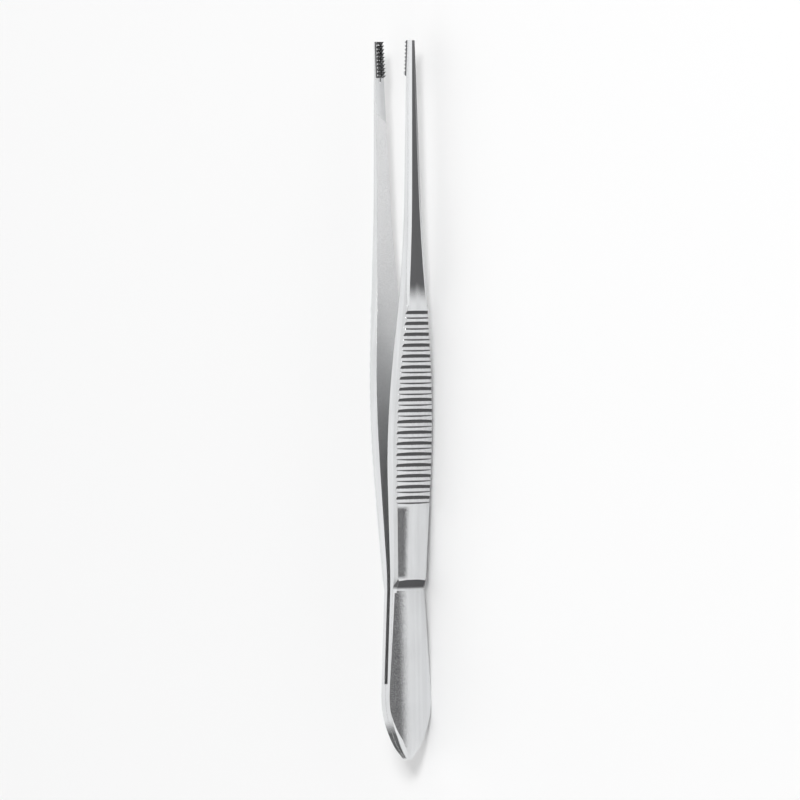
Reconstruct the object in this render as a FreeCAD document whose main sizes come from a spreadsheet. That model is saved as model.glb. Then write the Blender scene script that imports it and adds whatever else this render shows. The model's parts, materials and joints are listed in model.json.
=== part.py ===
import FreeCAD, Part
import math
import os
import Sketcher

# Thumb forceps of polished stainless steel, lying on their long edges as on a tray.
# Two forged blades are welded face to face along the tail and spring apart towards the jaws.
# Each blade is drawn from its tail end: y runs along it to the tips, x is the distance from
# the middle plane between the blades and z is measured across its width.  All in millimetres.

SIZES = (
    # Places along the blade, from the tail end
    ("overall_length", 150.0, "tail end to jaw tips"),
    ("weld_length", 16.0, "blades joined solid from the tail end up to here"),
    ("shoulder_at", 37.6, "edge where the handle steps down to the spring tail"),
    ("shoulder_runout", 1.8, "length of the hollow below that edge"),
    ("grip_front_at", 94.5, "edge where the grip ends and the ground front begins"),
    ("front_runout", 3.0, "length of the hollow beyond that edge"),
    # Side profile of a blade, as distances from the middle plane
    ("spring_gap", 0.45, "half the slot between the two spring arms"),
    ("spring_thickness", 1.17, "thickness of each spring arm at its middle"),
    ("bow_start_at", 38.0, "first bend of the inner face"),
    ("bow_start_radius", 150.0, "easing of the first bend"),
    ("bow_middle_at", 64.0, "second bend of the inner face"),
    ("bow_middle_gap", 1.15, "half opening there"),
    ("bow_middle_radius", 400.0, "easing of the second bend"),
    ("bow_front_at", 104.0, "third bend of the inner face"),
    ("bow_front_gap", 3.72, "half opening there"),
    ("bow_front_radius", 400.0, "easing of the third bend"),
    ("jaw_gap", 4.5, "half opening of the inner faces behind the jaws"),
    ("tooth_rear_gap", 3.75, "half opening at the rearmost tooth points"),
    ("tooth_front_gap", 4.05, "half opening at the foremost ones, so that the tips meet first"),
    ("handle_rise", 2.4, "outer face at the shoulder edge"),
    ("grip_rise", 5.55, "outer face at the front edge of the grip"),
    ("front_rise", 5.4, "outer face where the ground front begins"),
    ("tip_rise", 5.36, "outer face at the tips"),
    ("shoulder_radius", 1.7, "hollow of the shoulder"),
    ("front_radius", 30.0, "hollow in front of the grip"),
    ("nose_taper_at", 4.0, "corner where the tail begins to thin towards its nose"),
    ("nose_taper_radius", 20.0, "easing of that corner"),
    ("nose_rise", 0.9, "outer face at the end of the nose"),
    # Plan outline, as half widths
    ("tip_half_width", 0.98, "half width at the tips"),
    ("flare_front_at", 104.5, "place where the slim front starts to flare"),
    ("flare_front_half_width", 2.2, "half width there"),
    ("flare_front_radius", 350.0, "easing of the flare"),
    ("grip_bulge_at", 72.4, "corner of the bulge that the fingers hold"),
    ("grip_bulge_half_width", 5.93, "half width at that corner"),
    ("grip_bulge_radius", 190.0, "rounding of the bulge"),
    ("waist_at", 37.6, "corner of the waist at the shoulder"),
    ("waist_half_width", 4.52, "half width at that corner"),
    ("waist_radius", 60.0, "easing of the waist"),
    ("tail_side_at", 9.6, "corner between a side and the end of the tail"),
    ("tail_side_half_width", 6.4, "half width at that corner"),
    ("tail_side_radius", 16.0, "rounding of the tail sides"),
    ("tail_end_at", 2.5, "corner between the tail end and its nose"),
    ("tail_end_half_width", 2.8, "half width at that corner"),
    ("tail_end_radius", 12.0, "rounding of the tail end"),
    ("tail_nose_half_width", 0.6, "half width of the nose"),
    ("tail_nose_radius", 1.2, "rounding of the nose"),
    # Long edges of the outer face
    ("front_bevel_depth", 0.36, "bevels of the front, measured in from the outer face"),
    ("front_bevel_width", 0.85, "bevels of the front, measured across the outer face"),
    ("grip_bevel_depth", 0.95, "bevels of the handle and grip, measured in from the outer face"),
    ("grip_bevel_width", 0.5, "bevels of the handle and grip, measured across it"),
    ("tail_bevel_depth", 0.42, "bevels round the tail, measured in from the outer face"),
    ("tail_bevel_width", 0.75, "bevels round the tail, measured across it"),
    # Crowns of the outer face, across the blade
    ("grip_crown_radius", 80.0, "arch of the handle and grip"),
    ("tail_crown_radius", 40.0, "arch of the tail"),
    ("crown_land", 3.0, "width of the flat land left along the middle of each crown"),
    # Finger grooves across the grip
    ("groove_count", 18, "grooves on each blade"),
    ("groove_pitch", 2.27, "one groove to the next"),
    ("groove_width", 1.73, "mouth of each groove"),
    ("groove_depth", 0.38, "depth of each groove"),
    ("groove_setback", 1.72, "front edge of the grip to the middle of the first groove"),
    # Toothed jaws
    ("tooth_count", 9, "teeth in each row"),
    ("tooth_pitch", 0.78, "one tooth to the next"),
    ("tooth_depth", 0.5, "depth of the notches between the teeth"),
    ("jaw_heel_slope", 0.55, "length of the slanted rear end of the teeth"),
    ("jaw_groove_width", 0.64, "groove between the two rows of teeth"),
    ("jaw_groove_depth", 0.62, "depth of that groove below the foremost tooth points"),
    ("jaw_groove_run", 0.9, "length of that groove behind the teeth"),
)

RIGHT = 1
LEFT = -1
UPWARD = FreeCAD.Vector(0, 0, 1)
ACROSS_SKETCH = FreeCAD.Vector(0, 1, 0)

# Limits for telling faces and edges of the blank apart
FACES_OUTWARD = 0.6
FACES_SIDEWAYS = 0.1
TOUCH = 0.01

JAW_LENGTH = "Sizes.tooth_count * Sizes.tooth_pitch"
JAW_HEEL = f"Sizes.overall_length - {JAW_LENGTH} - Sizes.jaw_heel_slope"
TOOTH_LEAN = f"atan((Sizes.tooth_front_gap - Sizes.tooth_rear_gap) / ({JAW_LENGTH}))"
SPRING_RISE = "Sizes.spring_gap + Sizes.spring_thickness"
TAIL_CROWN_FRONT = "Sizes.shoulder_at - Sizes.shoulder_runout - Sizes.shoulder_radius / 2"
FULL_WIDTH = "4 * Sizes.tail_side_half_width"
GROOVE_RADIUS = "(Sizes.groove_width^2 / 4 + Sizes.groove_depth^2) / (2 * Sizes.groove_depth)"
GRIP_LEAN = (
    "atan((Sizes.grip_rise - Sizes.handle_rise) / (Sizes.grip_front_at - Sizes.shoulder_at))"
)


def fill_sheet(doc):
    """Write every driving dimension into the sheet under its own name."""
    sheet = doc.addObject("Spreadsheet::Sheet", "Sizes")
    for row, (alias, value, meaning) in enumerate(SIZES, start=1):
        sheet.set(f"A{row}", meaning)
        sheet.set(f"B{row}", str(value))
        sheet.setAlias(f"B{row}", alias)
    doc.recompute()


def origin_feature(body, role):
    """One of a body's own origin planes or axes."""
    return next(item for item in body.Origin.OriginFeatures if item.Role == role)


def new_sketch(body, name, role):
    """An empty sketch on one of the body's origin planes."""
    sketch = body.newObject("Sketcher::SketchObject", name)
    sketch.AttachmentSupport = [(origin_feature(body, role), "")]
    sketch.MapMode = "FlatFace"
    return sketch


def bind(sketch, constraint, label, formula):
    """Add one dimension to a sketch, named and driven by the sheet."""
    index = sketch.addConstraint(constraint)
    sketch.renameConstraint(index, label)
    sketch.setExpression(f"Constraints.{label}", formula)


def place_point(sketch, point, across, along, label):
    """Dimension a point of a sketch from the sketch's origin."""
    bind(sketch, Sketcher.Constraint("DistanceX", -1, 1, *point, 0.0), f"{label}_across", across)
    bind(sketch, Sketcher.Constraint("DistanceY", -1, 1, *point, 0.0), f"{label}_along", along)


def place_corners(doc, sketch, corners, label):
    """Put a construction point at every corner and return where the sheet places them."""
    for number, (across, along, _radius) in enumerate(corners):
        index = sketch.addGeometry(Part.Point(FreeCAD.Vector(number, number, 0)), True)
        place_point(sketch, (index, 1), across, along, f"{label}{number}")
    doc.recompute()
    points = sketch.Geometry[-len(corners):]
    return [FreeCAD.Vector(point.X, point.Y, 0) for point in points]


def rounding(before, corner, after, radius):
    """The arc that rounds a corner and touches both of its sides."""
    to_before = (before - corner).normalize()
    to_after = (after - corner).normalize()
    half_angle = to_before.getAngle(to_after) / 2
    reach = radius / math.tan(half_angle)
    depth = radius / math.sin(half_angle) - radius
    middle = corner + (to_before + to_after).normalize() * depth
    return Part.Arc(corner + to_before * reach, middle, corner + to_after * reach)


def arc_ends(sketch, index, before):
    """The end of an arc that is nearer to the corner before it, then its other end."""
    near_first = (sketch.getPoint(index, 1) - before).Length < (sketch.getPoint(index, 2) - before).Length
    return ((index, 1), (index, 2)) if near_first else ((index, 2), (index, 1))


def join_side(sketch, side_end, arc_end, corner):
    """End a side at its sharp corner, or run it smoothly into the arc that rounds the corner."""
    if arc_end is None:
        sketch.addConstraint(Sketcher.Constraint("Coincident", *side_end, corner, 1))
        return
    sketch.addConstraint(Sketcher.Constraint("Tangent", *side_end, *arc_end))
    sketch.addConstraint(Sketcher.Constraint("PointOnObject", corner, 1, side_end[0]))


def draw_outline(doc, sketch, corners, label):
    """Draw a closed outline from its corners: two places and a radius each, None where sharp."""
    first = len(sketch.Geometry)
    points = place_corners(doc, sketch, corners, label)
    count = len(corners)
    entries = [None] * count
    exits = [None] * count
    for number, (_across, _along, radius) in enumerate(corners):
        if radius is None:
            continue
        before = points[number - 1]
        after = points[(number + 1) % count]
        arc = rounding(before, points[number], after, doc.Sizes.get(radius))
        index = sketch.addGeometry(arc)
        entries[number], exits[number] = arc_ends(sketch, index, before)
    for number in range(count):
        following = (number + 1) % count
        start = sketch.getPoint(*exits[number]) if exits[number] else points[number]
        end = sketch.getPoint(*entries[following]) if entries[following] else points[following]
        side = sketch.addGeometry(Part.LineSegment(start, end))
        join_side(sketch, (side, 1), exits[number], first + number)
        join_side(sketch, (side, 2), entries[following], first + following)
    for number, (_across, _along, radius) in enumerate(corners):
        if radius is not None:
            constraint = Sketcher.Constraint("Radius", entries[number][0], doc.Sizes.get(radius))
            bind(sketch, constraint, f"{label}{number}_radius", f"Sizes.{radius}")
    doc.recompute()


def cut_through(doc, body, sketch, name, formula=None):
    """Cut a sketch equally to both sides of its plane, right through or to a given width."""
    volume = body.Shape.Volume
    pocket = body.newObject("PartDesign::Pocket", name)
    pocket.Profile = sketch
    pocket.SideType = "Symmetric"
    if formula is None:
        pocket.Type = "ThroughAll"
    else:
        pocket.setExpression("Length", formula)
    doc.recompute()
    if body.Shape.Volume >= volume:
        raise RuntimeError(f"{body.Label}: {name} removed nothing")
    return pocket


def repeat_cut(doc, body, cut, name, sketch, count, pitch):
    """Repeat a cut down the blade, along the upright axis of its own sketch."""
    pattern = body.newObject("PartDesign::LinearPattern", name)
    pattern.Originals = [cut]
    pattern.Direction = (sketch, ["V_Axis"])
    pattern.Reversed = True
    pattern.Mode = "Spacing"
    pattern.setExpression("Offset", pitch)
    pattern.setExpression("Occurrences", count)
    body.Tip = pattern
    doc.recompute()


def side_profile(side):
    """Corners of the blade seen on edge: out along the inner face, back along the outer one."""
    corners = (
        ("0", "0", None),
        ("0", "Sizes.weld_length", None),
        ("Sizes.spring_gap", "Sizes.weld_length", None),
        ("Sizes.spring_gap", "Sizes.bow_start_at", "bow_start_radius"),
        ("Sizes.bow_middle_gap", "Sizes.bow_middle_at", "bow_middle_radius"),
        ("Sizes.bow_front_gap", "Sizes.bow_front_at", "bow_front_radius"),
        ("Sizes.jaw_gap", JAW_HEEL, None),
        ("Sizes.tooth_rear_gap", f"{JAW_HEEL} + Sizes.jaw_heel_slope", None),
        ("Sizes.tooth_front_gap", "Sizes.overall_length", None),
        ("Sizes.tip_rise", "Sizes.overall_length", None),
        ("Sizes.front_rise", "Sizes.grip_front_at + Sizes.front_runout", "front_radius"),
        ("Sizes.grip_rise", "Sizes.grip_front_at", None),
        ("Sizes.handle_rise", "Sizes.shoulder_at", None),
        (SPRING_RISE, "Sizes.shoulder_at - Sizes.shoulder_runout", "shoulder_radius"),
        (SPRING_RISE, "Sizes.nose_taper_at", "nose_taper_radius"),
        ("Sizes.nose_rise", "0", None),
    )
    return [(f"{side} * ({across})", along, radius) for across, along, radius in corners]


def plan_outline():
    """Corners of the blade seen face on: down one edge to the tail and back up the other."""
    upper = [
        ("Sizes.overall_length", "Sizes.tip_half_width", None),
        ("Sizes.flare_front_at", "Sizes.flare_front_half_width", "flare_front_radius"),
        ("Sizes.grip_bulge_at", "Sizes.grip_bulge_half_width", "grip_bulge_radius"),
        ("Sizes.waist_at", "Sizes.waist_half_width", "waist_radius"),
        ("Sizes.tail_side_at", "Sizes.tail_side_half_width", "tail_side_radius"),
        ("Sizes.tail_end_at", "Sizes.tail_end_half_width", "tail_end_radius"),
        ("0", "Sizes.tail_nose_half_width", "tail_nose_radius"),
    ]
    lower = [(along, f"-{width}", radius) for along, width, radius in reversed(upper)]
    return upper + lower


def trimmings():
    """Corners of the flash that is trimmed away around the plan outline."""
    behind = "-Sizes.waist_at"
    ahead = "Sizes.overall_length + Sizes.waist_at"
    return [
        (behind, f"-{FULL_WIDTH}", None),
        (ahead, f"-{FULL_WIDTH}", None),
        (ahead, FULL_WIDTH, None),
        (behind, FULL_WIDTH, None),
    ]


def forge_blank(doc, body, side):
    """The forged blade: its side profile at full width, trimmed to its plan outline."""
    profile = new_sketch(body, "SideProfile", "XY_Plane")
    draw_outline(doc, profile, side_profile(side), "edge")
    blank = body.newObject("PartDesign::Pad", "Blank")
    blank.Profile = profile
    blank.SideType = "Symmetric"
    blank.setExpression("Length", FULL_WIDTH)
    doc.recompute()
    plan = new_sketch(body, "PlanOutline", "YZ_Plane")
    draw_outline(doc, plan, plan_outline(), "outline")
    draw_outline(doc, plan, trimmings(), "flash")
    cut_through(doc, body, plan, "Trim")


def lies_along(body, edge, start, end):
    """Whether an edge runs within a stretch of the blade and doesn't just cross its far end."""
    low = edge.BoundBox.YMin
    high = edge.BoundBox.YMax
    return low > start - TOUCH and high < end + TOUCH and low < end - TOUCH


def outer_long_edges(body, side, start, end):
    """Names of the edges between the outer face and the blade's narrow sides, over one stretch."""
    outer = []
    narrow = []
    for face in body.Shape.Faces:
        u_min, u_max, v_min, v_max = face.ParameterRange
        outward = side * face.normalAt((u_min + u_max) / 2, (v_min + v_max) / 2).x
        if outward > FACES_OUTWARD:
            outer.extend(face.Edges)
        elif abs(outward) < FACES_SIDEWAYS:
            narrow.extend(face.Edges)
    return [
        f"Edge{number}"
        for number, edge in enumerate(body.Shape.Edges, start=1)
        if lies_along(body, edge, start, end)
        and any(edge.isSame(other) for other in outer)
        and any(edge.isSame(other) for other in narrow)
    ]


def bevel(doc, body, name, edges, first, second):
    """Bevel long edges by two distances, one on each of the two faces that meet there."""
    volume = body.Shape.Volume
    chamfer = body.newObject("PartDesign::Chamfer", name)
    chamfer.Base = (chamfer.BaseFeature, edges)
    chamfer.ChamferType = "Two distances"
    chamfer.setExpression("Size", first)
    chamfer.setExpression("Size2", second)
    doc.recompute()
    if body.Shape.Volume >= volume:
        raise RuntimeError(f"{body.Label}: {name} removed nothing")


def grind_edges(doc, body, side):
    """Bevel the outer edges along the front, round the tail and along the handle.

    On the front and tail the narrow side is an edge's first face, on the handle it is the second.
    """
    sheet = doc.Sizes
    front = outer_long_edges(body, side, sheet.grip_front_at, sheet.overall_length)
    bevel(doc, body, "FrontBevels", front, "Sizes.front_bevel_depth", "Sizes.front_bevel_width")
    tail = outer_long_edges(body, side, 0, sheet.shoulder_at)
    bevel(doc, body, "TailBevels", tail, "Sizes.tail_bevel_depth", "Sizes.tail_bevel_width")
    handle = outer_long_edges(body, side, sheet.shoulder_at, sheet.grip_front_at)
    bevel(doc, body, "HandleBevels", handle, "Sizes.grip_bevel_width", "Sizes.grip_bevel_depth")


def crown(doc, body, side, name, top, lean, radius, length):
    """Arch the outer face across the blade beside a flat land, from its top back to the tail."""
    rise, along = top
    section = new_sketch(body, f"{name}Section", "XZ_Plane")
    section.AttachmentOffset = FreeCAD.Placement(FreeCAD.Vector(), FreeCAD.Rotation(ACROSS_SKETCH, 1))
    section.setExpression("AttachmentOffset.Base.x", f"{side} * ({rise})")
    section.setExpression("AttachmentOffset.Base.z", f"-({along})")
    section.setExpression("AttachmentOffset.Rotation.Angle", f"{-side} * {lean}")
    depth = f"sqrt({radius}^2 - Sizes.crown_land^2 / 4)"
    for label, reach in (("arch", radius), ("clear", f"{radius} + Sizes.grip_rise")):
        circle = section.addGeometry(Part.Circle(FreeCAD.Vector(-side, 0, 0), UPWARD, 1))
        place_point(section, (circle, 3), f"{-side} * {depth}", "0", label)
        bind(section, Sketcher.Constraint("Radius", circle, 1), f"{label}_radius", reach)
    doc.recompute()
    volume = body.Shape.Volume
    pocket = body.newObject("PartDesign::Pocket", name)
    pocket.Profile = section
    pocket.Reversed = True
    pocket.setExpression("Length", length)
    doc.recompute()
    if body.Shape.Volume >= volume:
        raise RuntimeError(f"{body.Label}: {name} removed nothing")


def crown_faces(doc, body, side):
    """Arch the handle with its grip, and the tail below the shoulder."""
    grip_front = ("Sizes.grip_rise", "Sizes.grip_front_at")
    handle_length = "Sizes.grip_front_at - Sizes.shoulder_at + Sizes.shoulder_runout"
    crown(doc, body, side, "GripCrown", grip_front, GRIP_LEAN, "Sizes.grip_crown_radius", handle_length)
    tail_front = (SPRING_RISE, TAIL_CROWN_FRONT)
    crown(doc, body, side, "TailCrown", tail_front, "0", "Sizes.tail_crown_radius", "Sizes.shoulder_at")


def leaning_section(body, name, side, rise, along, lean):
    """A sketch set at a point of the side profile, leaning with the face there."""
    section = new_sketch(body, name, "XY_Plane")
    section.AttachmentOffset = FreeCAD.Placement(FreeCAD.Vector(), FreeCAD.Rotation(UPWARD, 1))
    section.setExpression("AttachmentOffset.Base.x", f"{side} * {rise}")
    section.setExpression("AttachmentOffset.Base.y", along)
    section.setExpression("AttachmentOffset.Rotation.Angle", f"{-side} * {lean}")
    return section


def cut_finger_grooves(doc, body, side):
    """Shallow round channels across the outer face, in a row down the slope of the grip."""
    front = ("Sizes.grip_rise", "Sizes.grip_front_at")
    section = leaning_section(body, "GrooveSection", side, *front, GRIP_LEAN)
    circle = section.addGeometry(Part.Circle(FreeCAD.Vector(side, -1, 0), UPWARD, 1))
    across = f"{side} * ({GROOVE_RADIUS} - Sizes.groove_depth)"
    place_point(section, (circle, 3), across, "-Sizes.groove_setback", "middle")
    bind(section, Sketcher.Constraint("Radius", circle, 1), "hollow", GROOVE_RADIUS)
    doc.recompute()
    groove = cut_through(doc, body, section, "Groove")
    repeat_cut(doc, body, groove, "Grooves", section, "Sizes.groove_count", "Sizes.groove_pitch")


def cut_teeth(doc, body, side):
    """Notches across the jaw pad, half a pitch further back on the left blade so that they mesh."""
    front = ("Sizes.tooth_front_gap", "Sizes.overall_length")
    section = leaning_section(body, "NotchSection", side, *front, TOOTH_LEAN)
    root = "0" if side == RIGHT else "-Sizes.tooth_pitch / 2"
    notch_floor = f"{side} * Sizes.tooth_depth"
    notch_mouth = f"{-side} * Sizes.tooth_depth"
    corners = [
        (notch_floor, root, None),
        (notch_mouth, f"{root} + Sizes.tooth_pitch", None),
        (notch_mouth, f"{root} - Sizes.tooth_pitch", None),
    ]
    draw_outline(doc, section, corners, "notch")
    notch = cut_through(doc, body, section, "Notch")
    repeat_cut(doc, body, notch, "Notches", section, "Sizes.tooth_count", "Sizes.tooth_pitch")


def cut_jaw_groove(doc, body):
    """The lengthwise groove that parts the teeth into two rows and runs out behind them."""
    outline = new_sketch(body, "JawGrooveOutline", "YZ_Plane")
    rear = f"{JAW_HEEL} - Sizes.jaw_groove_run"
    front = "Sizes.overall_length + Sizes.jaw_groove_run"
    half_width = "Sizes.jaw_groove_width / 2"
    corners = [
        (rear, f"-{half_width}", None),
        (front, f"-{half_width}", None),
        (front, half_width, None),
        (rear, half_width, None),
    ]
    draw_outline(doc, outline, corners, "groove")
    reach = "2 * (Sizes.tooth_front_gap + Sizes.jaw_groove_depth)"
    cut_through(doc, body, outline, "JawGroove", reach)


def build_blade(doc, name, side):
    """One blade, from its forged blank to its toothed jaw."""
    body = doc.addObject("PartDesign::Body", name)
    body.Label = name
    forge_blank(doc, body, side)
    grind_edges(doc, body, side)
    crown_faces(doc, body, side)
    cut_finger_grooves(doc, body, side)
    cut_teeth(doc, body, side)
    cut_jaw_groove(doc, body)
    return body


def lay_down(doc, blades):
    """Rest the blades on their lower long edges, with the origin under the middle."""
    bounds = blades[0].Shape.optimalBoundingBox(False, False)
    rest = FreeCAD.Vector(0, -bounds.Center.y, -bounds.ZMin)
    for blade in blades:
        blade.Placement = FreeCAD.Placement(rest, FreeCAD.Rotation())
    doc.recompute()


def check_model(doc, blades):
    """Stop if any feature failed or a blade isn't one sound solid."""
    for item in doc.Objects:
        if "Invalid" in item.State or "Error" in item.State:
            raise RuntimeError(f"{item.Name} failed: {item.State}")
    for blade in blades:
        shape = blade.Shape
        if shape.isNull() or not shape.isValid() or len(shape.Solids) != 1:
            raise RuntimeError(f"{blade.Label} isn't one sound solid")


def main():
    doc = FreeCAD.newDocument("ThumbForceps")
    fill_sheet(doc)
    blades = [build_blade(doc, "left_blade", LEFT), build_blade(doc, "right_blade", RIGHT)]
    lay_down(doc, blades)
    check_model(doc, blades)
    os.makedirs("parts", exist_ok=True)
    for blade in blades:
        blade.Shape.exportStep(f"parts/{blade.Label}.step")
        print(blade.Label, round(blade.Shape.Volume, 1), "mm3", blade.Shape.optimalBoundingBox(False, False))


main()
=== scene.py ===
import json
import math

import bpy
from mathutils import Matrix, Vector


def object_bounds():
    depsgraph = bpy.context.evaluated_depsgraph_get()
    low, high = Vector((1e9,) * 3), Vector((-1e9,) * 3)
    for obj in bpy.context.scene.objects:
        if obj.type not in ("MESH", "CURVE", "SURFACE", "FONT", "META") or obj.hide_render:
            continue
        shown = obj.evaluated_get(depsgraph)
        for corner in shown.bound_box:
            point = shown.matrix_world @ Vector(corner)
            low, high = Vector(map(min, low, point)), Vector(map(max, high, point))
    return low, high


# Thumb forceps of polished steel: the finish of the two blades, and the stage they lie on.
# Everything is in metres, in the model's own frame: Y along the forceps to the jaws,
# X across the opening from the left blade to the right one, Z up from the floor.

bl_info = {
    "name": "Thumb Forceps Finish",
    "version": (1, 0, 0),
    "blender": (4, 5, 0),
    "location": "View3D > Sidebar > Forceps",
    "description": "Finishes the steel of a pair of thumb forceps and sets the stage around them",
    "category": "Object",
}

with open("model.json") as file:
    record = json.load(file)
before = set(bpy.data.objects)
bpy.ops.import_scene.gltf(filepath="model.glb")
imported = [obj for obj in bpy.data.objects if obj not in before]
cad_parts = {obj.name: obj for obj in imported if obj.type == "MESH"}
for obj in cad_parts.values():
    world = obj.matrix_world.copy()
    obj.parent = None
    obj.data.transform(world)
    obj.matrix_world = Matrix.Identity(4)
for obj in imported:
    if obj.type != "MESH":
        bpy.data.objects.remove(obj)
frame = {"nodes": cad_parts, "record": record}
CAD_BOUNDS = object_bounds()

MM = 0.001
PER_MM = 1000.0
LOW = Vector(CAD_BOUNDS[0])
HIGH = Vector(CAD_BOUNDS[1])
CENTRE = (LOW + HIGH) / 2
LENGTH = (HIGH.y - LOW.y) * PER_MM
STEEL_COLOUR = frame["record"]["materials"][0]["base_color"]

# The side of the middle plane on which each blade lies
BLADES = {"left_blade": -1, "right_blade": 1}

# A mask fades in over a span of what it measures. These spans are of the way a surface looks,
# where 1 is straight outward, inward, up or towards the tail, and -1 is straight away from it.
# All of them except the inner face's place painted shade and painted dark reflection.
FLAT_OF_FACE = (0.95, 0.975)
OUTER_FACE = (0.5, 0.6)
INNER_FACE = (0.5, 0.8)
FRONT_BEVEL = (0.8, 0.88)
LOOKS_DOWN = (-0.2, -0.32)
SHOULDER_HOLLOW = (0.04, 0.38)
GROOVE_WALL = (0.15, 0.27)
GROOVE_LIP = (-0.3, -0.5)
GROOVE_UNEVENNESS = 0.16

# How nearly a rounded edge looks the same way as its face
ROUNDED_EDGE = (0.995, 0.93)

# Noise: its waves in a metre along each axis, and how many times finer waves are added
LINE_RELIEF = ((2600, 40, 2600), 3)
LINE_STREAKS = ((700, 12, 700), 2)
GRAIN_RELIEF = ((9000, 9000, 9000), 2)
GRAIN_SPECKLES = ((4600, 4600, 4600), 2)
FINGER_MARKS = ((210, 90, 210), 4)
RUBBED_PATCHES = ((900, 350, 900), 3)

# Spans of noise, which lies between 0 and 1 around its middle
NOISE_MIDDLE = 0.5
SPECKLED = (0.35, 0.65)
STIPPLED = (0.35, 0.6)
TOUCHED = (0.45, 0.7)
RUBBED = (0.3, 0.55)

# Finish of the steel, and the strength of the painted shade on the facet and the bands, as shares
SATIN_SPECKLE = 0.88
POLISH_LINE = 0.93
LINE_ROUGHNESS = 0.05
FACET_PAINTED_SHADE = 0.96
BAND_PAINTED_SHADE = 0.74
BAND_STIPPLE = 0.22
BUMP_STRENGTH = 0.12

# Height of the relief, and how finely the edges' rounding is measured
BUMP_HEIGHT = 0.01 * MM
BEVEL_SAMPLES = 4

# Lengths and spans in millimetres, for the ends and borders of the satin and of the painted shade
FACET_UNEVENNESS = 2.0
HANDLE_END_FADE = 1.0
HANDLE_UNEVENNESS = 1.6
HANDLE_BORDER = (-0.6, 1.4)
TAIL_FRONT_FADE = 0.3
TAIL_UNEVENNESS = 2.4
SATIN_END_FADE = 0.25
HOLLOW_BEHIND_EDGE = (-6.0, -4.0)
GRIP_AHEAD_OF_EDGE = (2.0, 4.0)
TOOTH_POINT = 0.08
NOT_BEYOND_TEETH = (0.8, 0.7)
REAR_OF_TEETH = (-0.1, 0.2)

# Floor and lamps, in metres, with the directions that the lamps shine from
FLOOR_REACH = 6.0
LAMP_DISTANCE = 2.4
KEY_FROM = (0.5, 0.45, 0.75)
KEY_WIDTH = 0.75
FILL_FROM = (-0.3, -0.8, 0.6)
FILL_WIDTH = 1.2

# Camera: how far it sees in metres, and its sensor in millimetres
CLIP_END = 20.0
SENSOR_WIDTH = 36.0

# Screens of the studio: the direction of the left one, and the spans of direction at their edges
LEFT_SCREEN = (-0.707, 0.0, 0.707)
LEFT_SCREEN_EDGE = (0.78, 0.92)
RIGHT_SCREEN_SIDE = (0.1, 0.4)
RIGHT_SCREEN_TOP = (0.42, 0.26)
OVERHEAD_SIDE = (0.42, 0.25)
OVERHEAD_TOP = (0.3, 0.55)

# Places of the two sources among a Mix node's inputs, and of the mixed colour among its outputs
MIX_COLOURS = (6, 7)
MIX_NUMBERS = (2, 3)
MIXED_COLOUR = 2

# Layout of the nodes, in rows, in the node editor's own units
NODES_IN_ROW = 8
NODE_WIDTH = 200
NODE_HEIGHT = 260


# Node helpers

def add(tree, kind, **settings):
    """Add a shader node in the tree's next free place, and set its own settings."""
    row, column = divmod(len(tree.nodes), NODES_IN_ROW)
    node = tree.nodes.new(kind)
    node.location = (column * NODE_WIDTH, -row * NODE_HEIGHT)
    for name, value in settings.items():
        setattr(node, name, value)
    return node


def put_last(*nodes):
    """Move a tree's last nodes to the right of its rows."""
    for place, node in enumerate(nodes):
        node.location = ((NODES_IN_ROW + 2 * place) * NODE_WIDTH, 0)


def feed(tree, socket, source):
    """Link a socket to another, or set it to a plain value."""
    if isinstance(source, bpy.types.NodeSocket):
        tree.links.new(source, socket)
    else:
        socket.default_value = source


def maths(tree, operation, *sources):
    """A Math node over sockets or numbers."""
    node = add(tree, "ShaderNodeMath", operation=operation)
    for socket, source in zip(node.inputs, sources):
        feed(tree, socket, source)
    return node.outputs[0]


def fade(tree, value, span):
    """A mask that goes smoothly from 0 at the span's start to 1 at its end."""
    node = add(tree, "ShaderNodeMapRange", interpolation_type="SMOOTHSTEP")
    for name, source in zip(("Value", "From Min", "From Max"), (value, *span)):
        feed(tree, node.inputs[name], source)
    return node.outputs["Result"]


def past(place, span):
    """A span that is measured from a place."""
    return place + span[0], place + span[1]


def split(tree, vector):
    """A vector's parts along X, Y and Z."""
    node = add(tree, "ShaderNodeSeparateXYZ")
    feed(tree, node.inputs[0], vector)
    return node.outputs


def agreement(tree, first, second):
    """How nearly two directions agree, up to 1 where they are the same."""
    node = add(tree, "ShaderNodeVectorMath", operation="DOT_PRODUCT")
    feed(tree, node.inputs[0], first)
    feed(tree, node.inputs[1], second)
    return node.outputs["Value"]


def mix_colour(tree, mask, first, second):
    """The first colour where the mask is 0, the second where it is 1."""
    node = add(tree, "ShaderNodeMix", data_type="RGBA")
    feed(tree, node.inputs[0], mask)
    for index, source in zip(MIX_COLOURS, (first, second)):
        if not isinstance(source, bpy.types.NodeSocket):
            source = (*source, 1)
        feed(tree, node.inputs[index], source)
    return node.outputs[MIXED_COLOUR]


def mix_value(tree, mask, first, second):
    """The first number where the mask is 0, the second where it is 1."""
    node = add(tree, "ShaderNodeMix", data_type="FLOAT")
    feed(tree, node.inputs[0], mask)
    for index, source in zip(MIX_NUMBERS, (first, second)):
        feed(tree, node.inputs[index], source)
    return node.outputs[0]


def stretched_noise(tree, vector, kind):
    """Noise in the object's own space, with its own scale along each axis."""
    scale, detail = kind
    mapping = add(tree, "ShaderNodeMapping")
    feed(tree, mapping.inputs["Vector"], vector)
    feed(tree, mapping.inputs["Scale"], scale)
    noise = add(tree, "ShaderNodeTexNoise")
    feed(tree, noise.inputs["Vector"], mapping.outputs["Vector"])
    feed(tree, noise.inputs["Scale"], 1.0)
    feed(tree, noise.inputs["Detail"], detail)
    return noise.outputs["Fac"]


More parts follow.
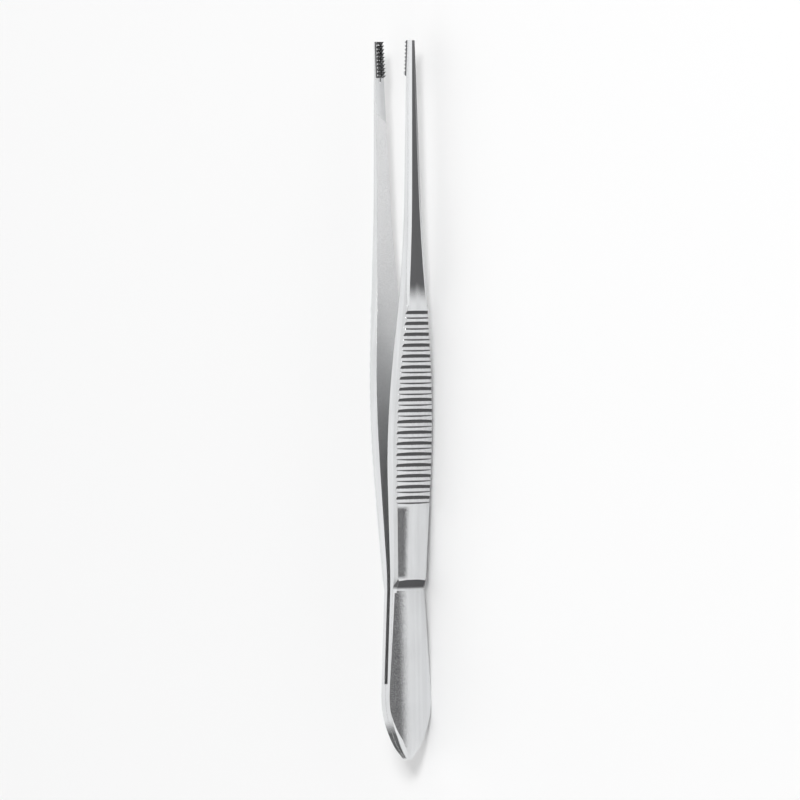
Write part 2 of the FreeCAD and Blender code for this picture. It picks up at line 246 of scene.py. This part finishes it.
def new_group(name, numbers=(), vectors=(), outputs=("Fac",)):
    """A shader node group with its named sockets, and the sockets of its two ends."""
    group = bpy.data.node_groups.new(name, "ShaderNodeTree")
    for label in vectors:
        group.interface.new_socket(label, in_out="INPUT", socket_type="NodeSocketVector")
    for label in numbers:
        group.interface.new_socket(label, in_out="INPUT", socket_type="NodeSocketFloat")
    for label in outputs:
        kind = "NodeSocketVector" if label == "Normal" else "NodeSocketFloat"
        group.interface.new_socket(label, in_out="OUTPUT", socket_type=kind)
    entry = add(group, "NodeGroupInput")
    result = add(group, "NodeGroupOutput")
    put_last(result)
    return group, entry.outputs, result.inputs


def place_group(tree, group, sources):
    """Put a node group into a tree, and feed each input from the source of the same name."""
    node = add(tree, "ShaderNodeGroup", node_tree=group)
    for socket in node.inputs:
        feed(tree, socket, sources[socket.name])
    return node.outputs


def in_mm(length):
    """A length that is kept in metres, in millimetres."""
    return length * PER_MM


def darker(colour, share):
    """A colour scaled down to a share of itself."""
    return [share * part for part in colour]


# Settings

class ForcepsSteel(bpy.types.PropertyGroup):
    """Finish of the steel, with the dark colour that is painted as shade and dark reflection."""

    polished_colour: bpy.props.FloatVectorProperty(
        name="Polished Colour", description="Reflectance of the polished steel",
        subtype="COLOR", size=3, min=0, max=1, default=STEEL_COLOUR)
    satin_colour: bpy.props.FloatVectorProperty(
        name="Satin Colour", description="Reflectance of the satin inner faces",
        subtype="COLOR", size=3, min=0, max=1, default=(0.88, 0.885, 0.89))
    # Painted shade: this dark colour is painted as shade and dark reflection on the front facet, the
    # bands, the grooves' walls and between the teeth; it is also the colour of handling marks.
    smudge_and_shade_colour: bpy.props.FloatVectorProperty(
        name="Dull Colour", description="Reflectance of ground and unpolished places",
        subtype="COLOR", size=3, min=0, max=1, default=(0.1, 0.1, 0.103))
    edge_colour: bpy.props.FloatVectorProperty(
        name="Edge Colour", description="Reflectance of the steel where use has rubbed its edges",
        subtype="COLOR", size=3, min=0, max=1, default=(0.92, 0.925, 0.93))
    polish: bpy.props.FloatProperty(
        name="Polish Roughness", description="Roughness of the polished faces",
        subtype="FACTOR", min=0, max=1, default=0.13)
    satin: bpy.props.FloatProperty(
        name="Satin Roughness", description="Roughness of the satin inner faces",
        subtype="FACTOR", min=0, max=1, default=0.42)
    smudge: bpy.props.FloatProperty(
        name="Handling Marks", description="How much handling dulls the polish in patches",
        subtype="FACTOR", min=0, max=1, default=0.06)
    wear: bpy.props.FloatProperty(
        name="Edge Wear", description="How bright the edges are rubbed",
        subtype="FACTOR", min=0, max=1, default=0.55)
    edge_rounding: bpy.props.FloatProperty(
        name="Edge Rounding", description="Rounding that the polishing wheel leaves on edges",
        subtype="DISTANCE", unit="LENGTH", min=0, default=0.12 * MM)
    satin_end: bpy.props.FloatProperty(
        name="Satin End", description="Where the satin stops, from the tail end",
        subtype="DISTANCE", unit="LENGTH", default=134.1 * MM)
    satin_slant: bpy.props.FloatProperty(
        name="Satin Slant", description="How far the satin's end leans, along for each unit up",
        default=0.71)


class ForcepsPaintedShade(bpy.types.PropertyGroup):
    """Where shade and dark reflection are painted into the steel's colour, which keeps no mirror
    polish there.
    """

    # The front facet and the bevel under it are painted dark, as a dark reflection, from here towards
    # the tip.
    facet_start: bpy.props.FloatProperty(
        name="Facet Start", description="Rear end of the ground facet, from the tail end",
        subtype="DISTANCE", unit="LENGTH", default=95.0 * MM)
    facet_fade: bpy.props.FloatProperty(
        name="Facet Fade", description="Length over which the facet's grinding fades in",
        subtype="DISTANCE", unit="LENGTH", default=4.5 * MM)
    handle_start: bpy.props.FloatProperty(
        name="Handle Start", description="Shoulder edge, from the tail end",
        subtype="DISTANCE", unit="LENGTH", default=37.6 * MM)
    handle_end: bpy.props.FloatProperty(
        name="Handle End", description="Front end of the plain handle, from the tail end",
        subtype="DISTANCE", unit="LENGTH", default=53.2 * MM)
    # The bands along the handle and the tail are painted dark reflection, on the upper part of each
    # outer face.
    handle_band: bpy.props.FloatProperty(
        name="Handle Band", description="Lower edge of the handle's satin, above its middle",
        subtype="DISTANCE", unit="LENGTH", default=1.5 * MM)
    tail_front: bpy.props.FloatProperty(
        name="Tail Front", description="Front end of the tail's satin, from the tail end",
        subtype="DISTANCE", unit="LENGTH", default=35.5 * MM)
    tail_band: bpy.props.FloatProperty(
        name="Tail Band", description="Lower edge of the tail's satin, above its middle",
        subtype="DISTANCE", unit="LENGTH", default=0.4 * MM)
    tail_fade: bpy.props.FloatProperty(
        name="Tail Fade", description="Width over which the tail's satin fades in",
        subtype="DISTANCE", unit="LENGTH", default=3.4 * MM)
    # Between the teeth, and in the groove between their rows, shade is painted.
    teeth_start: bpy.props.FloatProperty(
        name="Teeth Start", description="Rear end of the teeth, from the tail end",
        subtype="DISTANCE", unit="LENGTH", default=142.4 * MM)
    teeth_rear_gap: bpy.props.FloatProperty(
        name="Teeth Rear Gap", description="Rear tooth points, from the middle plane",
        subtype="DISTANCE", unit="LENGTH", default=3.75 * MM)
    teeth_front_gap: bpy.props.FloatProperty(
        name="Teeth Front Gap", description="Front tooth points, from the middle plane",
        subtype="DISTANCE", unit="LENGTH", default=4.05 * MM)
    tooth_depth: bpy.props.FloatProperty(
        name="Tooth Depth", description="Depth of the notches between the teeth",
        subtype="DISTANCE", unit="LENGTH", default=0.5 * MM)


class ForcepsStage(bpy.types.PropertyGroup):
    """Camera, floor, lamps and studio."""

    view_height: bpy.props.FloatProperty(
        name="View Height", description="Angle of the camera above the floor",
        subtype="ANGLE", unit="ROTATION", default=math.radians(45))
    lean: bpy.props.FloatProperty(
        name="Lean", description="Lean of the forceps to the left in the picture",
        subtype="ANGLE", unit="ROTATION", default=math.radians(1.06))
    frame_width: bpy.props.FloatProperty(
        name="Frame Width", description="Width of the view at the forceps",
        subtype="DISTANCE", unit="LENGTH", default=166.9 * MM)
    distance: bpy.props.FloatProperty(
        name="Camera Distance", description="Distance of the camera from the forceps",
        subtype="DISTANCE", unit="LENGTH", default=2.2)
    aim_across: bpy.props.FloatProperty(
        name="Aim Across", description="Middle of the view, to the right of the forceps' middle",
        subtype="DISTANCE", unit="LENGTH", default=-0.2 * MM)
    aim_along: bpy.props.FloatProperty(
        name="Aim Along", description="Middle of the view, above the forceps' middle",
        subtype="DISTANCE", unit="LENGTH", default=0.1 * MM)
    floor_colour: bpy.props.FloatVectorProperty(
        name="Floor Colour", description="Colour of the floor",
        subtype="COLOR", size=3, min=0, max=1, default=(0.93, 0.93, 0.93))
    key_power: bpy.props.FloatProperty(
        name="Key Power", description="Power of the lamp at the upper right",
        subtype="POWER", unit="POWER", default=30.0)
    fill_power: bpy.props.FloatProperty(
        name="Fill Power", description="Power of the weaker lamp beyond the tail",
        subtype="POWER", unit="POWER", default=5.0)
    studio_level: bpy.props.FloatProperty(
        name="Studio Level", description="Brightness of the studio between its screens",
        min=0, default=0.12)
    left_level: bpy.props.FloatProperty(
        name="Left Screen", description="Brightness of the screen at the upper left",
        min=0, default=1.0)
    right_level: bpy.props.FloatProperty(
        name="Right Screen", description="Brightness of the low screen at the right",
        min=0, default=1.1)
    overhead_level: bpy.props.FloatProperty(
        name="Overhead Screen", description="Brightness of the long screen overhead",
        min=0, default=0.9)


# Effects shared by the two blades' steels

def polish_lines_group():
    """Hair lines that the polishing wheel leaves down the length of a blade."""
    group, given, result = new_group("polish_lines", vectors=["Vector"], outputs=["Height", "Fac"])
    feed(group, result["Height"], stretched_noise(group, given["Vector"], LINE_RELIEF))
    feed(group, result["Fac"], stretched_noise(group, given["Vector"], LINE_STREAKS))
    return group


def satin_grain_group():
    """The fine even grain of a satin finish."""
    group, given, result = new_group("satin_grain", vectors=["Vector"], outputs=["Height", "Fac"])
    feed(group, result["Height"], stretched_noise(group, given["Vector"], GRAIN_RELIEF))
    feed(group, result["Fac"], stretched_noise(group, given["Vector"], GRAIN_SPECKLES))
    return group


def handling_marks_group():
    """Faint patches where fingers have dulled the polish."""
    group, given, result = new_group("handling_marks", vectors=["Vector"])
    patches = stretched_noise(group, given["Vector"], FINGER_MARKS)
    feed(group, result["Fac"], fade(group, patches, TOUCHED))
    return group


def satin_mask_group(steel):
    """Where a blade has its satin: on its inner face, up to a slanting end near the jaws."""
    group, given, result = new_group("satin_mask", numbers=["Along", "Up", "Inward"])
    inner = fade(group, given["Inward"], INNER_FACE)
    lean = maths(group, "MULTIPLY", given["Up"], steel.satin_slant)
    reach = maths(group, "SUBTRACT", given["Along"], lean)
    behind = fade(group, reach, past(in_mm(steel.satin_end), (SATIN_END_FADE, -SATIN_END_FADE)))
    feed(group, result["Fac"], maths(group, "MULTIPLY", inner, behind))
    return group


def painted_shade_mask_group(shade_places):
    """Where shade and dark reflection are painted: the front facet and the bevel under it, two bands,
    and walls.
    """
    group, given, result = new_group(
        "painted_shade_mask",
        numbers=["Along", "Up", "Outward", "Upward", "Tailward", "Grain", "Lines"])
    front, under = painted_front_shade(group, given, shade_places)
    faces = maths(group, "MAXIMUM", painted_shade_bands(group, given, shade_places), front)
    flat = fade(group, given["Outward"], FLAT_OF_FACE)
    faces = maths(group, "MULTIPLY", faces, flat)
    faces = maths(group, "MAXIMUM", faces, under)
    walls = painted_hollow_shade(group, given, shade_places)
    feed(group, result["Fac"], maths(group, "MAXIMUM", faces, walls))
    return group


def painted_front_shade(group, given, shade_places):
    """Painted dark reflection on the facet along the front, and painted shade on the bevel under it,
    darker towards the tip.
    """
    start = in_mm(shade_places.facet_start)
    reach = maths(group, "MULTIPLY_ADD", given["Lines"], FACET_UNEVENNESS, given["Along"])
    begin = start + FACET_UNEVENNESS * NOISE_MIDDLE
    shaded = fade(group, reach, (begin, begin + in_mm(shade_places.facet_fade)))
    # Painted shade on the bevel that looks down
    down = fade(group, given["Upward"], LOOKS_DOWN)
    bevel = maths(group, "MULTIPLY", down, fade(group, given["Outward"], FRONT_BEVEL))
    under = maths(group, "MULTIPLY", bevel, shaded)
    under = maths(group, "MULTIPLY", under, fade(group, given["Along"], (start, LENGTH)))
    return maths(group, "MULTIPLY", shaded, FACET_PAINTED_SHADE), under


def painted_shade_bands(group, given, shade_places):
    """Stippled bands of painted dark reflection along the handle and the tail, with uneven borders.
    """
    along, up = given["Along"], given["Up"]
    grainy = maths(group, "SUBTRACT", given["Grain"], NOISE_MIDDLE)
    first, last = in_mm(shade_places.handle_start), in_mm(shade_places.handle_end)
    handle = maths(
        group, "MULTIPLY",
        fade(group, along, (first, first + HANDLE_END_FADE)),
        fade(group, along, (last, last - HANDLE_END_FADE)))
    border = maths(group, "MULTIPLY_ADD", grainy, HANDLE_UNEVENNESS, up)
    border = fade(group, border, past(in_mm(shade_places.handle_band), HANDLE_BORDER))
    handle = maths(group, "MULTIPLY", handle, border)

    tail = fade(group, along, past(in_mm(shade_places.tail_front), (0.0, -TAIL_FRONT_FADE)))
    border = maths(group, "MULTIPLY_ADD", grainy, TAIL_UNEVENNESS, up)
    border = fade(group, border, past(in_mm(shade_places.tail_band), (0.0, in_mm(shade_places.tail_fade))))
    tail = maths(group, "MULTIPLY", tail, border)

    stippled = fade(group, given["Grain"], STIPPLED)
    stippled = maths(group, "MULTIPLY_ADD", stippled, BAND_STIPPLE, BAND_PAINTED_SHADE)
    return maths(group, "MULTIPLY", maths(group, "MAXIMUM", handle, tail), stippled)


def painted_hollow_shade(group, given, shade_places):
    """Painted shade in the hollow under the shoulder's edge, and in each finger groove on the front
    wall and rear lip.
    """
    along, tailward = given["Along"], given["Tailward"]
    edge = in_mm(shade_places.handle_start)
    hollow = fade(group, tailward, SHOULDER_HOLLOW)
    uneven = maths(group, "MULTIPLY_ADD", given["Grain"], GROOVE_UNEVENNESS, tailward)
    grooves = fade(group, uneven, GROOVE_WALL)
    in_grip = fade(group, along, past(edge, GRIP_AHEAD_OF_EDGE))
    walls = mix_value(group, in_grip, hollow, grooves)
    off_tail = fade(group, along, past(edge, HOLLOW_BEHIND_EDGE))
    walls = maths(group, "MULTIPLY", walls, off_tail)
    lips = fade(group, tailward, GROOVE_LIP)
    lips = maths(group, "MULTIPLY", lips, fade(group, given["Outward"], OUTER_FACE))
    return maths(group, "MAXIMUM", walls, lips)


def tooth_shade_mask_group(shade_places):
    """Painted shade in the notches of the teeth and in the groove between their rows, darker the
    deeper a spot lies.
    """
    group, given, result = new_group("tooth_shade_mask", numbers=["Across", "Along"])
    start = in_mm(shade_places.teeth_start)
    rear = in_mm(shade_places.teeth_rear_gap)
    slope = (in_mm(shade_places.teeth_front_gap) - rear) / (LENGTH - start)
    ahead = maths(group, "SUBTRACT", given["Along"], start)
    points = maths(group, "ADD", maths(group, "MULTIPLY", ahead, slope), rear)
    below = maths(group, "SUBTRACT", given["Across"], points)
    deep = fade(group, below, (TOOTH_POINT, in_mm(shade_places.tooth_depth)))
    teeth = maths(group, "MULTIPLY", deep, fade(group, below, NOT_BEYOND_TEETH))
    teeth = maths(group, "MULTIPLY", teeth, fade(group, ahead, REAR_OF_TEETH))
    feed(group, result["Fac"], teeth)
    return group


def edge_wear_group():
    """Edges that polishing has rounded, and bright metal where use has rubbed them."""
    group, given, result = new_group(
        "edge_wear", numbers=["Width"], vectors=["Vector", "Normal"], outputs=["Fac", "Normal"])
    rounded = add(group, "ShaderNodeBevel", samples=BEVEL_SAMPLES)
    feed(group, rounded.inputs["Radius"], given["Width"])
    turn = agreement(group, rounded.outputs["Normal"], given["Normal"])
    patches = fade(group, stretched_noise(group, given["Vector"], RUBBED_PATCHES), RUBBED)
    rubbed = maths(group, "MULTIPLY", fade(group, turn, ROUNDED_EDGE), patches)
    feed(group, result["Fac"], rubbed)
    feed(group, result["Normal"], rounded.outputs["Normal"])
    return group


# Blades

class FORCEPS_OT_finish_blades(bpy.types.Operator):
    """Give the blades their polished and satin steel, with softly rounded edges"""

    bl_idname = "forceps.finish_blades"
    bl_label = "Finish Blades"

    def execute(self, context):
        steel = context.scene.forceps_steel
        shade_places = context.scene.forceps_dull_parts
        groups = {
            "lines": polish_lines_group(),
            "grain": satin_grain_group(),
            "marks": handling_marks_group(),
            "satin": satin_mask_group(steel),
            "shade_places": painted_shade_mask_group(shade_places),
            "teeth": tooth_shade_mask_group(shade_places),
            "wear": edge_wear_group(),
        }
        for name, side in BLADES.items():
            blade = frame["nodes"][name]
            blade.data.materials.clear()
            blade.data.materials.append(blade_steel(f"{name}_steel", side, steel, groups))
        return {"FINISHED"}


def blade_steel(name, side, steel, groups):
    """Steel that is polished outside and satin inside, with shade and dark reflection painted in
    places.
    """
    material = bpy.data.materials.new(name)
    material.use_nodes = True
    tree = material.node_tree
    shader = tree.nodes["Principled BSDF"]
    put_last(shader, tree.nodes["Material Output"])
    shader.inputs["Metallic"].default_value = 1.0
    look = steel_effects(tree, side, steel, groups)
    feed(tree, shader.inputs["Base Color"], steel_colour(tree, look, steel))
    feed(tree, shader.inputs["Roughness"], steel_roughness(tree, look, steel))
    feed(tree, shader.inputs["Normal"], steel_relief(tree, look))
    return material


def blade_places(tree, side):
    """Where on its blade a spot lies, in millimetres, and which way it looks."""
    place = add(tree, "ShaderNodeTexCoord")
    spot = split(tree, place.outputs["Object"])
    facing = split(tree, place.outputs["Normal"])
    along = maths(tree, "SUBTRACT", spot["Y"], LOW.y)
    up = maths(tree, "SUBTRACT", spot["Z"], CENTRE.z)
    return {
        "Vector": place.outputs["Object"],
        "Normal": add(tree, "ShaderNodeNewGeometry").outputs["Normal"],
        "Across": maths(tree, "MULTIPLY", spot["X"], side * PER_MM),
        "Along": maths(tree, "MULTIPLY", along, PER_MM),
        "Up": maths(tree, "MULTIPLY", up, PER_MM),
        "Outward": maths(tree, "MULTIPLY", facing["X"], side),
        "Inward": maths(tree, "MULTIPLY", facing["X"], -side),
        "Upward": facing["Z"],
        "Tailward": maths(tree, "MULTIPLY", facing["Y"], -1.0),
    }


def steel_effects(tree, side, steel, groups):
    """Every effect that shows in the steel of one blade."""
    sources = blade_places(tree, side)
    sources["Width"] = steel.edge_rounding
    grain = place_group(tree, groups["grain"], sources)
    lines = place_group(tree, groups["lines"], sources)
    sources["Grain"] = grain["Fac"]
    sources["Lines"] = lines["Fac"]
    masks = {}
    for name in ("marks", "satin", "shade_places", "teeth"):
        masks[name] = place_group(tree, groups[name], sources)["Fac"]
    wear = place_group(tree, groups["wear"], sources)
    return {
        "grain": grain,
        "lines": lines,
        "satin": masks["satin"],
        "handled": maths(tree, "MULTIPLY", masks["marks"], steel.smudge),
        # Painted shade and painted dark reflection, from the facet, the bands, the walls and the
        # teeth
        "shade_and_dark_reflection": maths(tree, "MAXIMUM", masks["shade_places"], masks["teeth"]),
        "rubbed": maths(tree, "MULTIPLY", wear["Fac"], steel.wear),
        "rounded": wear["Normal"],
    }


def steel_colour(tree, look, steel):
    """Lined polish, speckled satin, painted shade and dark reflection, and bright rubbed edges."""
    speckled = fade(tree, look["grain"]["Fac"], SPECKLED)
    satin = darker(steel.satin_colour, SATIN_SPECKLE)
    satin = mix_colour(tree, speckled, satin, steel.satin_colour)
    lined = fade(tree, look["lines"]["Fac"], SPECKLED)
    polished = darker(steel.polished_colour, POLISH_LINE)
    polished = mix_colour(tree, lined, polished, steel.polished_colour)
    polished = mix_colour(tree, look["handled"], polished, steel.smudge_and_shade_colour)
    colour = mix_colour(tree, look["satin"], polished, satin)
    # Painted shade and painted dark reflection, in the dark colour
    colour = mix_colour(tree, look["shade_and_dark_reflection"], colour, steel.smudge_and_shade_colour)
    return mix_colour(tree, look["rubbed"], colour, steel.edge_colour)


def steel_roughness(tree, look, steel):
    """Smooth polish, rougher along its lines and where it was handled, and soft satin."""
    streaks = maths(tree, "MULTIPLY", look["lines"]["Fac"], LINE_ROUGHNESS)
    polish = maths(tree, "ADD", look["handled"], streaks)
    polish = maths(tree, "ADD", polish, steel.polish)
    roughness = mix_value(tree, look["satin"], polish, steel.satin)
    roughness = mix_value(tree, look["shade_and_dark_reflection"], roughness, steel.satin)
    return mix_value(tree, look["rubbed"], roughness, steel.polish)


def steel_relief(tree, look):
    """The relief of the lines and of the grain, over softly rounded edges."""
    height = mix_value(tree, look["satin"], look["lines"]["Height"], look["grain"]["Height"])
    bump = add(tree, "ShaderNodeBump")
    bump.inputs["Strength"].default_value = BUMP_STRENGTH
    bump.inputs["Distance"].default_value = BUMP_HEIGHT
    feed(tree, bump.inputs["Height"], height)
    feed(tree, bump.inputs["Normal"], look["rounded"])
    return bump.outputs["Normal"]


# Stage

class FORCEPS_OT_set_stage(bpy.types.Operator):
    """Lay the floor, set the lamps and aim the camera"""

    bl_idname = "forceps.set_stage"
    bl_label = "Set Stage"

    def execute(self, context):
        stage = context.scene.forceps_stage
        lay_floor(stage)
        light_studio(context.scene, stage)
        aim_camera(context.scene, stage)
        return {"FINISHED"}


def lay_floor(stage):
    """A wide matt floor under the forceps."""
    reach = FLOOR_REACH
    corners = [(-reach, -reach, 0), (reach, -reach, 0), (reach, reach, 0), (-reach, reach, 0)]
    mesh = bpy.data.meshes.new("floor")
    mesh.from_pydata(corners, [], [(0, 1, 2, 3)])
    floor = bpy.data.objects.new("floor", mesh)
    bpy.context.collection.objects.link(floor)
    material = bpy.data.materials.new("floor_paint")
    material.use_nodes = True
    shader = material.node_tree.nodes["Principled BSDF"]
    shader.inputs["Base Color"].default_value = (*stage.floor_colour, 1)
    shader.inputs["Roughness"].default_value = 1.0
    shader.inputs["Specular IOR Level"].default_value = 0.0
    mesh.materials.append(material)


def area_lamp(name, origin, width, power):
    """A square lamp that shines at the middle of the forceps from its own direction."""
    lamp = bpy.data.lights.new(name, "AREA")
    lamp.size = width
    lamp.energy = power
    holder = bpy.data.objects.new(name, lamp)
    bpy.context.collection.objects.link(holder)
    towards = Vector(origin).normalized()
    holder.location = CENTRE + towards * LAMP_DISTANCE
    holder.rotation_euler = towards.to_track_quat("Z", "Y").to_euler()


def light_studio(scene, stage):
    """A soft key lamp, a weak fill, and a dark studio with pale screens left, right and overhead."""
    world = bpy.data.worlds.new("studio")
    scene.world = world
    world.use_nodes = True
    tree = world.node_tree
    way = add(tree, "ShaderNodeTexCoord").outputs["Generated"]
    parts = split(tree, way)
    left = fade(tree, agreement(tree, way, LEFT_SCREEN), LEFT_SCREEN_EDGE)
    right = maths(
        tree, "MULTIPLY",
        fade(tree, parts["X"], RIGHT_SCREEN_SIDE), fade(tree, parts["Z"], RIGHT_SCREEN_TOP))
    sideways = maths(tree, "ABSOLUTE", parts["X"])
    overhead = maths(
        tree, "MULTIPLY",
        fade(tree, sideways, OVERHEAD_SIDE), fade(tree, parts["Z"], OVERHEAD_TOP))
    screens = (
        (left, stage.left_level),
        (right, stage.right_level),
        (overhead, stage.overhead_level),
    )
    shade = [stage.studio_level] * 3
    for screen, level in screens:
        shade = mix_colour(tree, screen, shade, [level] * 3)
    background = tree.nodes["Background"]
    put_last(background, tree.nodes["World Output"])
    feed(tree, background.inputs["Color"], shade)
    background.inputs["Strength"].default_value = 1.0
    area_lamp("key_lamp", KEY_FROM, KEY_WIDTH, stage.key_power)
    area_lamp("fill_lamp", FILL_FROM, FILL_WIDTH, stage.fill_power)


def aim_camera(scene, stage):
    """Look down on the forceps from their right side, with the jaws at the top."""
    tilt = stage.view_height
    back = Vector((math.cos(tilt), 0, math.sin(tilt)))
    level = Vector((math.sin(tilt), 0, -math.cos(tilt)))
    ahead = Vector((0, 1, 0))
    right = level * math.cos(stage.lean) - ahead * math.sin(stage.lean)
    up = level * math.sin(stage.lean) + ahead * math.cos(stage.lean)
    lens = bpy.data.cameras.new("camera")
    lens.sensor_width = SENSOR_WIDTH
    lens.lens = SENSOR_WIDTH * stage.distance / stage.frame_width
    lens.clip_end = CLIP_END
    camera = bpy.data.objects.new("camera", lens)
    bpy.context.collection.objects.link(camera)
    target = CENTRE + right * stage.aim_across + up * stage.aim_along
    position = target + back * stage.distance
    turn = Matrix((right, up, back)).transposed().to_4x4()
    camera.matrix_world = Matrix.Translation(position) @ turn
    scene.camera = camera
    scene.view_settings.view_transform = "Standard"


class FORCEPS_PT_sidebar(bpy.types.Panel):
    """Steps and settings of the forceps' finish"""

    bl_idname = "FORCEPS_PT_sidebar"
    bl_label = "Thumb Forceps"
    bl_space_type = "VIEW_3D"
    bl_region_type = "UI"
    bl_category = "Forceps"

    def draw(self, context):
        for step in STEPS:
            self.layout.operator(step.bl_idname)
        for name in SETTINGS:
            box = self.layout.box()
            settings = getattr(context.scene, name)
            for label in settings.bl_rna.properties.keys():
                if label not in ("rna_type", "name"):
                    box.prop(settings, label)


SETTINGS = {
    "forceps_steel": ForcepsSteel,
    "forceps_dull_parts": ForcepsPaintedShade,
    "forceps_stage": ForcepsStage,
}
STEPS = (FORCEPS_OT_finish_blades, FORCEPS_OT_set_stage)
CLASSES = (*SETTINGS.values(), *STEPS, FORCEPS_PT_sidebar)


def register():
    """Register the classes, and give every scene the forceps' settings."""
    for item in CLASSES:
        bpy.utils.register_class(item)
    for name, settings in SETTINGS.items():
        setattr(bpy.types.Scene, name, bpy.props.PointerProperty(type=settings))


def unregister():
    """Take back all that register gave."""
    for name in SETTINGS:
        delattr(bpy.types.Scene, name)
    for item in reversed(CLASSES):
        bpy.utils.unregister_class(item)


def main():
    """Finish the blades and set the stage."""
    register()
    for step in (bpy.ops.forceps.finish_blades, bpy.ops.forceps.set_stage):
        step()


if __name__ == "__main__":
    main()
